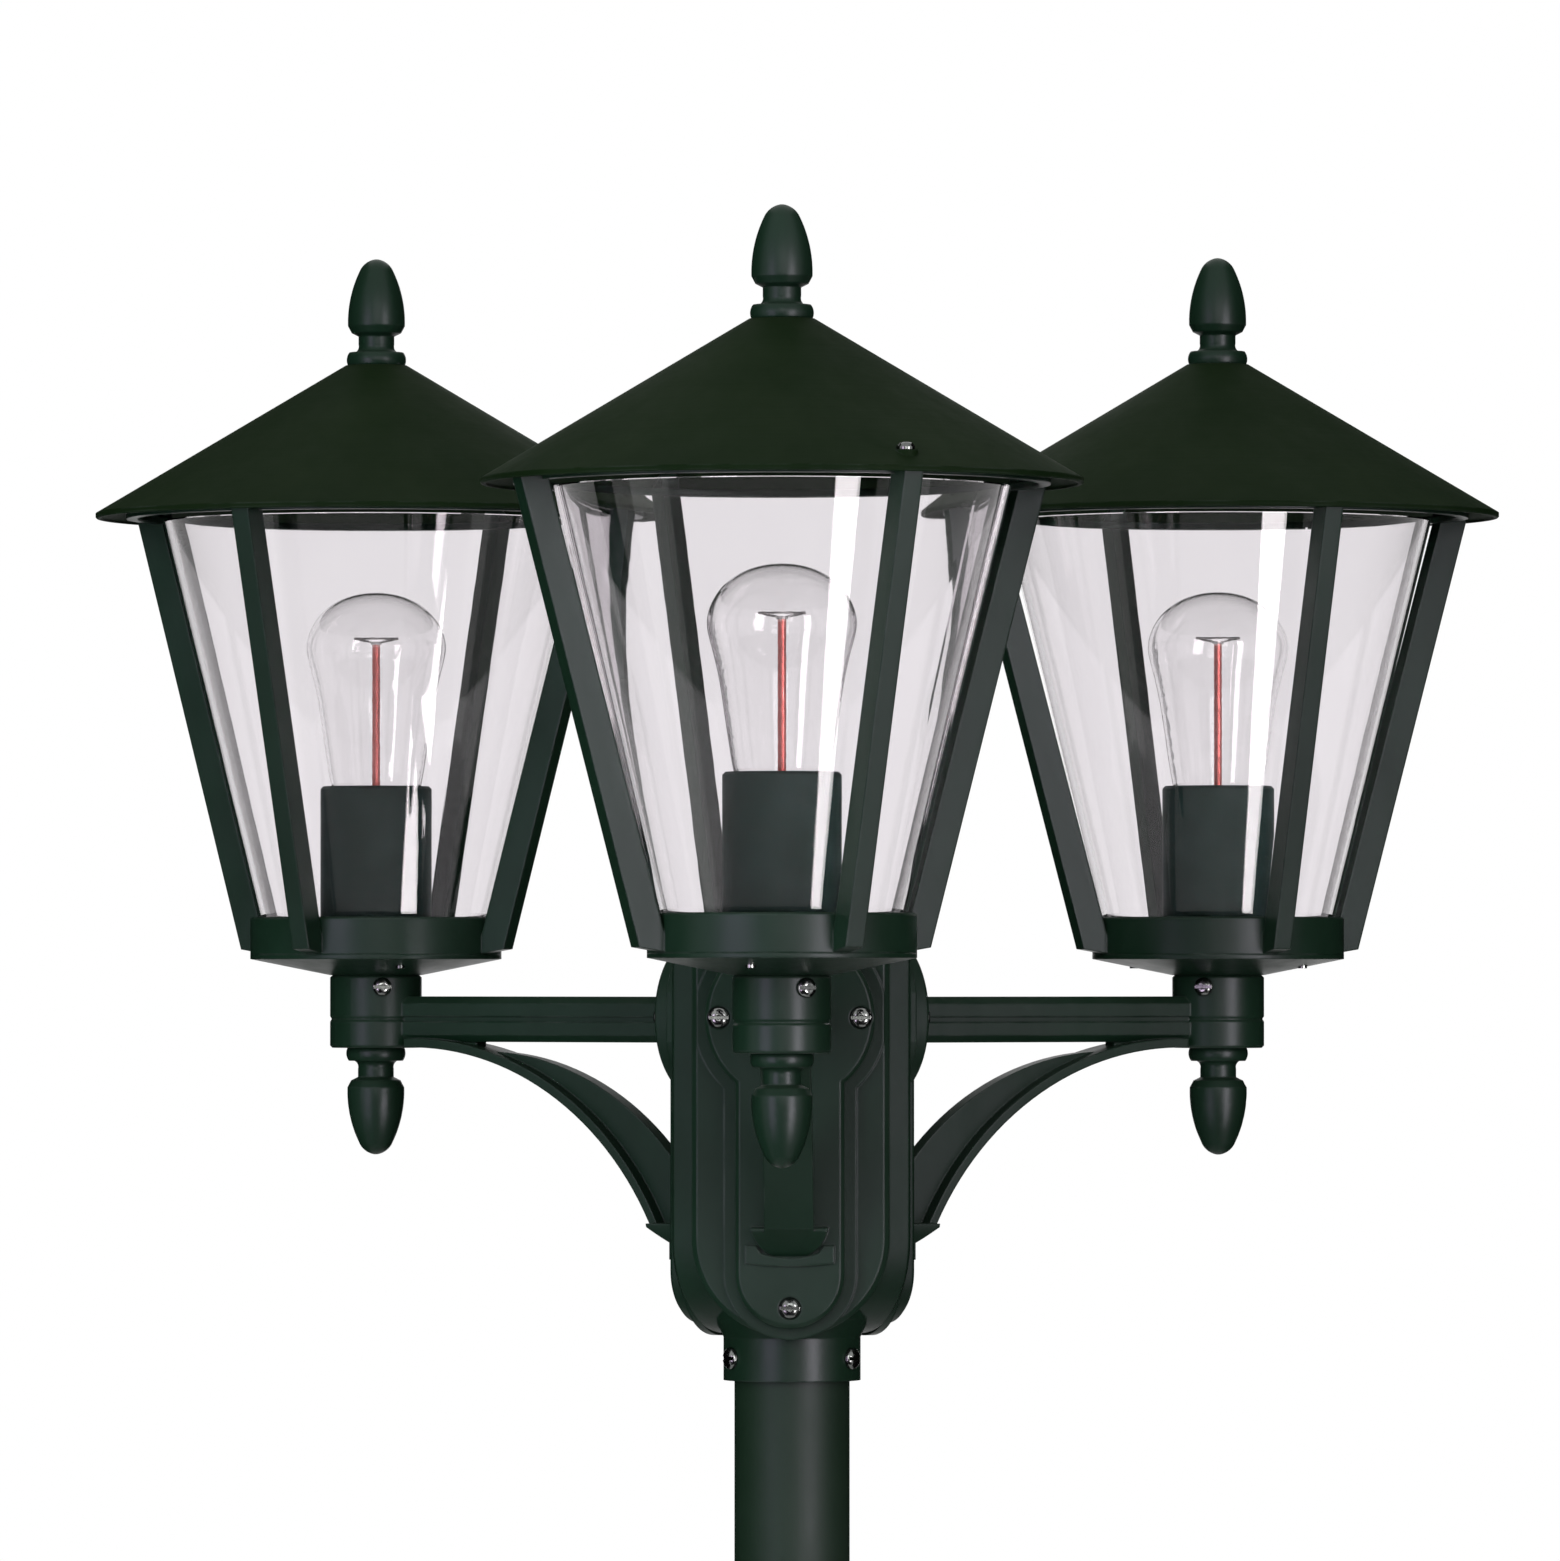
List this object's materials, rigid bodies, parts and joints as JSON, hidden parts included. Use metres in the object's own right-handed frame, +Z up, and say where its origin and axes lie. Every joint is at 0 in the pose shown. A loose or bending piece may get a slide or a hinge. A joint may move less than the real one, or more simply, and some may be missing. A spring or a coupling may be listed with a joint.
{
  "type": "triple head lamp post",
  "caption": "Garden lamp post with round tapered lanterns on scrolled bracket arms around a central hub, a plain tube and a bell-shaped bolt-down foot.",
  "frame": {"origin": "on the ground at the axis of the post, in the middle of the foot's underside", "axes": "+Z up along the post, -Y towards the front lantern, +X to the right when seen from the front"},
  "size_m": [0.6032, 0.5547, 1.9998],
  "materials": {
    "paint": "satin black-green powder coat on cast aluminium",
    "roof_paint": "satin black-green powder coat on spun aluminium",
    "tube_paint": "satin black powder coat on drawn tube",
    "zinc_screw": "bright zinc plate",
    "clear_cover": "clear moulded cover, faint grey-violet tint",
    "bulb_glass": "clear bulb glass",
    "black_plastic": "moulded thermoset, satin",
    "pale_plastic": "moulded polyamide",
    "brass": "plain",
    "cap_metal": "rolled thin sheet",
    "copper_stem": "copper-red wire and glass stem",
    "filament_wire": "drawn tungsten"
  },
  "bodies": {
    "root": {"post_foot": "paint", "foot_screws": "zinc_screw", "post_tube": "tube_paint"},
    "head": {"hub_casting": "paint", "collar_screws": "zinc_screw", "hub_cap": "paint", "hub_cap_screws": "zinc_screw", "terminal_block": "pale_plastic", "arm_front": "paint", "arm_right": "paint", "arm_left": "paint", "arm_screws": "zinc_screw", "swivel_screws": "zinc_screw", "pendant_finials": "paint"},
    "lantern_front": {"lantern_frame_front": "paint", "lantern_base_front": "paint", "base_screws_front": "zinc_screw", "glass_cover_front": "clear_cover", "lampholder_front": "black_plastic", "nipple_front": "brass", "screw_shell_front": "brass", "centre_contact_front": "brass"},
    "roof_front": {"roof_front": "roof_paint", "roof_screws_front": "zinc_screw", "roof_finial_front": "paint"},
    "bulb_front": {"bulb_cap_front": "cap_metal", "bulb_envelope_front": "bulb_glass", "bulb_stem_front": "copper_stem", "bulb_filament_front": "filament_wire"},
    "lantern_right": {"lantern_frame_right": "paint", "lantern_base_right": "paint", "base_screws_right": "zinc_screw", "glass_cover_right": "clear_cover", "lampholder_right": "black_plastic", "nipple_right": "brass", "screw_shell_right": "brass", "centre_contact_right": "brass"},
    "roof_right": {"roof_right": "roof_paint", "roof_screws_right": "zinc_screw", "roof_finial_right": "paint"},
    "bulb_right": {"bulb_cap_right": "cap_metal", "bulb_envelope_right": "bulb_glass", "bulb_stem_right": "copper_stem", "bulb_filament_right": "filament_wire"},
    "lantern_left": {"lantern_frame_left": "paint", "lantern_base_left": "paint", "base_screws_left": "zinc_screw", "glass_cover_left": "clear_cover", "lampholder_left": "black_plastic", "nipple_left": "brass", "screw_shell_left": "brass", "centre_contact_left": "brass"},
    "roof_left": {"roof_left": "roof_paint", "roof_screws_left": "zinc_screw", "roof_finial_left": "paint"},
    "bulb_left": {"bulb_cap_left": "cap_metal", "bulb_envelope_left": "bulb_glass", "bulb_stem_left": "copper_stem", "bulb_filament_left": "filament_wire"}
  },
  "joints": [
    {"name": "head_turn", "type": "hinge", "parent": "root", "child": "head", "pos_m": [0, 0, 1.574], "axis": [0, 0, 1], "range_deg": [-170, 170]},
    {"name": "lantern_swivel_front", "type": "hinge", "parent": "head", "child": "lantern_front", "pos_m": [0, -0.209, 1.6866], "axis": [0, 0, 1], "range_deg": [-170, 170]},
    {"name": "roof_lift_front", "type": "slide", "parent": "lantern_front", "child": "roof_front", "axis": [0, 0, 1], "range_m": [0, 0.15]},
    {"name": "bulb_unscrew_front", "type": "slide", "parent": "lantern_front", "child": "bulb_front", "axis": [0, 0, 1], "range_m": [0, 0.0216]},
    {"name": "lantern_swivel_right", "type": "hinge", "parent": "head", "child": "lantern_right", "pos_m": [0.181, 0.1045, 1.6866], "axis": [0, 0, 1], "range_deg": [-170, 170]},
    {"name": "roof_lift_right", "type": "slide", "parent": "lantern_right", "child": "roof_right", "axis": [0, 0, 1], "range_m": [0, 0.15]},
    {"name": "bulb_unscrew_right", "type": "slide", "parent": "lantern_right", "child": "bulb_right", "axis": [0, 0, 1], "range_m": [0, 0.0216]},
    {"name": "lantern_swivel_left", "type": "hinge", "parent": "head", "child": "lantern_left", "pos_m": [-0.181, 0.1045, 1.6866], "axis": [0, 0, 1], "range_deg": [-170, 170]},
    {"name": "roof_lift_left", "type": "slide", "parent": "lantern_left", "child": "roof_left", "axis": [0, 0, 1], "range_m": [0, 0.15]},
    {"name": "bulb_unscrew_left", "type": "slide", "parent": "lantern_left", "child": "bulb_left", "axis": [0, 0, 1], "range_m": [0, 0.0216]}
  ]
}
